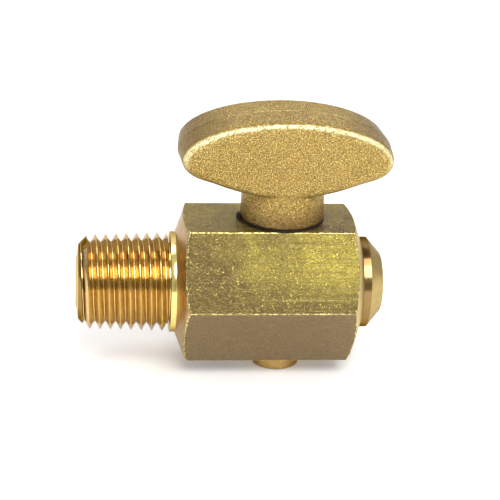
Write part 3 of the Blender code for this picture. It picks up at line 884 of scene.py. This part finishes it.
def black_rubber():
    """Moulded black rubber."""
    g = Graph("black_rubber")
    bloom = g.noise(1.4, 3, 0.6)
    colour = g.mix(g.span(bloom, 0.35, 0.75), (0.014, 0.009, 0.006), (0.034, 0.022, 0.015))
    roughness = g.span(bloom, 0.3, 0.7, 0.32, 0.5)
    return g.finish(colour, roughness, g.bump(g.noise(10.0, 2), 0.006 * MM), metallic=0.0,
                    **{"Specular IOR Level": 0.12})


def stage_white():
    """Matt white that glows a little, so that shadows on it stay faint."""
    material = bpy.data.materials.new("floor_white")
    material.use_nodes = True
    shader = material.node_tree.nodes["Principled BSDF"]
    shader.inputs["Base Color"].default_value = (0.9, 0.9, 0.9, 1)
    shader.inputs["Roughness"].default_value = 0.9
    shader.inputs["Specular IOR Level"].default_value = 0.0
    shader.inputs["Emission Color"].default_value = (1, 1, 1, 1)
    shader.inputs["Emission Strength"].default_value = FLOOR_GLOW
    return material


# ---------------------------------------------------------------- build the object
DRAWN, WORN, CAST = drawn_brass(), worn_brass(), cast_brass()
STEEL, RUBBER = spring_steel(), black_rubber()
TURNED = turned_brass("turned_brass", (0.93, 0.76, 0.27), (0.86, 0.65, 0.23), (0.10, 0.20))
GROUND = turned_brass("ground_brass", (0.84, 0.66, 0.32), (0.76, 0.56, 0.25), (0.18, 0.3))
CONE = turned_brass("faced_brass", (0.53, 0.35, 0.185), (0.42, 0.27, 0.155), (0.22, 0.34), 0.004,
                    tint=(0.80, 0.78, 0.70))
OUTLET = turned_brass("outlet_brass", (0.70, 0.56, 0.26), (0.61, 0.48, 0.22), (0.38, 0.48), 0.004,
                      tint=(0.75, 0.70, 0.65))
# painted shade: the nose's land, and the inlet's end face, get this dark brass in place of the dark
# surroundings they reflect
LAND = turned_brass("nose_brass", (0.34, 0.215, 0.08), (0.285, 0.18, 0.072), (0.10, 0.18), 0.003,
                    tint=(0.35, 0.30, 0.25))
MOUTH = turned_brass("nose_chamfer_brass", (0.52, 0.40, 0.15), (0.43, 0.32, 0.125), (0.26, 0.36), 0.006,
                     tint=(0.60, 0.55, 0.55))
THREAD = turned_brass("thread_brass", (0.73, 0.58, 0.25), (0.67, 0.51, 0.22), (0.12, 0.20), 0.004,
                      (9.0, 0.3, 0.3), (0.75, 0.66, 0.60))
# thread flanks that face the inlet: rougher, as torn by the cut, and darker, which is painted shade
TORN_SHADED = turned_brass("thread_brass_torn_shaded", (0.68, 0.50, 0.25), (0.59, 0.40, 0.20), (0.14, 0.24), 0.006,
                    (9.0, 0.4, 0.4), (0.75, 0.66, 0.60))
SCREW = turned_brass("screw_brass", (0.53, 0.345, 0.115), (0.40, 0.25, 0.095), (0.18, 0.30), 0.004)


def install(obj, body, node, materials, angle=SHARP_ANGLE):
    """Finish a fine piece and put it on its body, in place of its CAD node."""
    for material in materials:
        obj.data.materials.append(material)
    smooth(obj, angle)
    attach(obj, body)
    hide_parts(node)


def paint_body(obj):
    """Give each face of the body the material of its surface: flats, worn edges, cones, nose,
    thread flanks that face the hexagon or, rougher and darker with painted shade, the inlet, and
    plain turning. The nose's land and the inlet's end face get a dark brass that is painted shade."""
    turns = [math.radians(30 + 60 * k) for k in range(6)]
    flats = [(math.cos(turn), math.sin(turn)) for turn in turns]
    for face in obj.data.polygons:
        normal, centre = face.normal, face.center / MM
        radius = math.hypot(centre.y, centre.z)
        # how far out the face is towards the flat nearest to it, and how squarely it faces that way
        reach, facing = 0.0, 0.0
        for out in flats:
            distance = centre.y * out[0] + centre.z * out[1]
            if distance > reach:
                reach, facing = distance, normal.y * out[0] + normal.z * out[1]
        tilted = 0.2 < abs(normal.x) < 0.92 or facing < 0.999
        material = TURNED
        if reach > HEX_HALF - 0.15 and not tilted:
            material = DRAWN
        elif reach > HEX_HALF - 0.25 and abs(normal.x) < 0.92 and radius > HEX_HALF - 0.1:
            material = WORN
        elif COLLAR_X[1] + 0.03 < centre.x < STEM_X - 6 and radius > COLLAR_R:
            material = CONE
        elif NOSE_X < centre.x < NOSE_END_X - 0.05 and radius > FLOW_R + MOUTH_CHAMFER:
            # painted shade: the land's dark brass
            material = LAND if normal.x < 0.5 else MOUTH
        elif centre.x < COLLAR_X[0] - 0.05 and radius > LIP_R and LIP_HEIGHT < centre.x:
            on_crest = abs(radius - TAPER * centre.x - CREST_R) < 0.045
            # painted shade: the inlet's end face takes the land's dark brass
            if centre.x < 1.3 and normal.x < -0.55:
                material = LAND
            else:
                material = THREAD if on_crest or normal.x > -0.3 else TORN_SHADED
        elif centre.x > STEM_X + 6 and 0.8 < normal.x and radius > NOSE_R:
            material = OUTLET
        face.material_index = BODY_MATERIALS.index(material)


BODY_MATERIALS = [DRAWN, TURNED, CONE, THREAD, TORN_SHADED, WORN, LAND, OUTLET, MOUTH]
body_piece = valve_body()
install(body_piece, "body", "valve_body", BODY_MATERIALS)
paint_body(body_piece)
install(tee_handle(), "key", "tee_handle", [CAST], SOFT_ANGLE)
install(plug(), "key", "plug", [GROUND])
install(plug_spring(), "key", "plug_spring", [STEEL])
install(washer("thrust_washer_fine", THRUST_RADII, SHOULDER_Z - NEST, THRUST_THICK),
        "body", "thrust_washer", [GROUND])
install(washer("keyed_washer_fine", KEYED_RADII, TAIL_END_Z + KEYED_THICK - NEST, KEYED_THICK, KEYED_FLATS),
        "key", "keyed_washer", [GROUND])
install(retaining_screw(), "key", "retaining_screw", [SCREW])
install(stem_seal_ring(), "body", "stem_seal_ring", [RUBBER], SOFT_ANGLE)


# ---------------------------------------------------------------- floor, light and camera
def floor():
    """Wide white sheet just under the screw's head."""
    edited = bmesh.new()
    bmesh.ops.create_grid(edited, x_segments=8, y_segments=8, size=FLOOR_HALF)
    mesh = bpy.data.meshes.new("floor")
    edited.to_mesh(mesh)
    edited.free()
    obj = new_object("floor", mesh)
    obj.location = (STEM_X * MM, 0.0, (HEAD_END_Z - FLOOR_GAP) * MM)
    mesh.materials.append(stage_white())


def softbox(name, place, elevation, size, radiance):
    """Area light on an arc over the object, facing along the arc's radius. place is how far to
    the right and how far away it is, and size its width and depth, in metres. elevation runs
    from 0 in front of the object over the top to 180 behind."""
    across, distance = place
    e = math.radians(elevation)
    away = Vector((0.0, -math.cos(e), math.sin(e)))
    data = bpy.data.lights.new(name, "AREA")
    data.shape = "RECTANGLE"
    data.size, data.size_y = size
    data.energy = radiance * math.pi * size[0] * size[1]
    obj = bpy.data.objects.new(name, data)
    bpy.context.scene.collection.objects.link(obj)
    obj.location = Vector(LIT_POINT) * MM + away * distance + Vector((across, 0.0, 0.0))
    obj.rotation_euler = away.to_track_quat("Z", "Y").to_euler()


def world():
    """Grey room: brightest behind the object and overhead, dimmest at its sides, with a dim
    patch low in front of it."""
    made = bpy.data.worlds.new("studio")
    made.use_nodes = True
    tree = made.node_tree
    new, link = tree.nodes.new, tree.links.new
    background = tree.nodes["Background"]
    direction = new("ShaderNodeTexCoord").outputs["Generated"]
    split = new("ShaderNodeSeparateXYZ")
    link(direction, split.inputs[0])
    ramp = new("ShaderNodeValToRGB")
    link(map_range(tree, split.outputs["Y"], -1.0, 1.0), ramp.inputs["Fac"])
    # grey of the room from in front of the object, 0, to behind it, 1
    stops = ((0.0, 0.60), (0.35, 0.37), (0.62, 0.37), (0.78, 0.66), (1.0, 0.80))
    while len(ramp.color_ramp.elements) < len(stops):
        ramp.color_ramp.elements.new(0.5)
    for element, (position, grey) in zip(ramp.color_ramp.elements, stops):
        element.position = position
        element.color = (grey, grey, grey, 1)
    patch = new("ShaderNodeVectorMath")
    patch.operation = "DOT_PRODUCT"
    rise, inside, outside = (math.radians(v) for v in (13, 9, 18))
    patch.inputs[1].default_value = (0.0, -math.cos(rise), math.sin(rise))
    link(direction, patch.inputs[0])
    dimmed = map_range(tree, patch.outputs["Value"], math.cos(outside), math.cos(inside), 1.0, 0.6)
    overhead = map_range(tree, split.outputs["Z"], 0.5, 0.85, 1.0, 1.6)
    both = new("ShaderNodeMath")
    both.operation = "MULTIPLY"
    link(dimmed, both.inputs[0])
    link(overhead, both.inputs[1])
    link(ramp.outputs["Color"], background.inputs["Color"])
    link(both.outputs[0], background.inputs["Strength"])
    bpy.context.scene.world = made


def camera():
    """Camera a little to the inlet side and above, rolled, looking at the middle of the valve."""
    azimuth, elevation, roll = (math.radians(v) for v in (-6.25, 22.47, 2.55))
    target, distance = Vector((23.87, 0.0, 4.70)) * MM, 0.2352
    back = Vector((math.sin(azimuth) * math.cos(elevation), -math.cos(azimuth) * math.cos(elevation),
                   math.sin(elevation)))
    right = Vector((math.cos(azimuth), math.sin(azimuth), 0.0))
    up = right.cross(-back)
    turned_right = right * math.cos(roll) + up * math.sin(roll)
    turned_up = -right * math.sin(roll) + up * math.cos(roll)
    data = bpy.data.cameras.new("camera")
    data.sensor_width = 36.0
    data.lens = 123.1
    data.clip_start, data.clip_end = 0.01, 20.0
    obj = bpy.data.objects.new("camera", data)
    bpy.context.scene.collection.objects.link(obj)
    matrix = Matrix((turned_right, turned_up, back)).transposed().to_4x4()
    matrix.translation = target + back * distance
    obj.matrix_world = matrix
    bpy.context.scene.camera = obj


floor()
softbox("front_softbox", (-0.0165, 0.55), 48, (0.077, 0.274), 14.0)
softbox("side_softbox", (0.1525, 0.55), 48, (0.215, 0.274), 8.2)
softbox("upper_softbox", (0.15, 0.55), 72, (0.18, 0.22), 3.0)
softbox("overhead_softbox", (-0.13, 0.60), 102, (0.46, 0.24), 3.6)
world()
camera()
bpy.context.scene.view_settings.view_transform = "Standard"
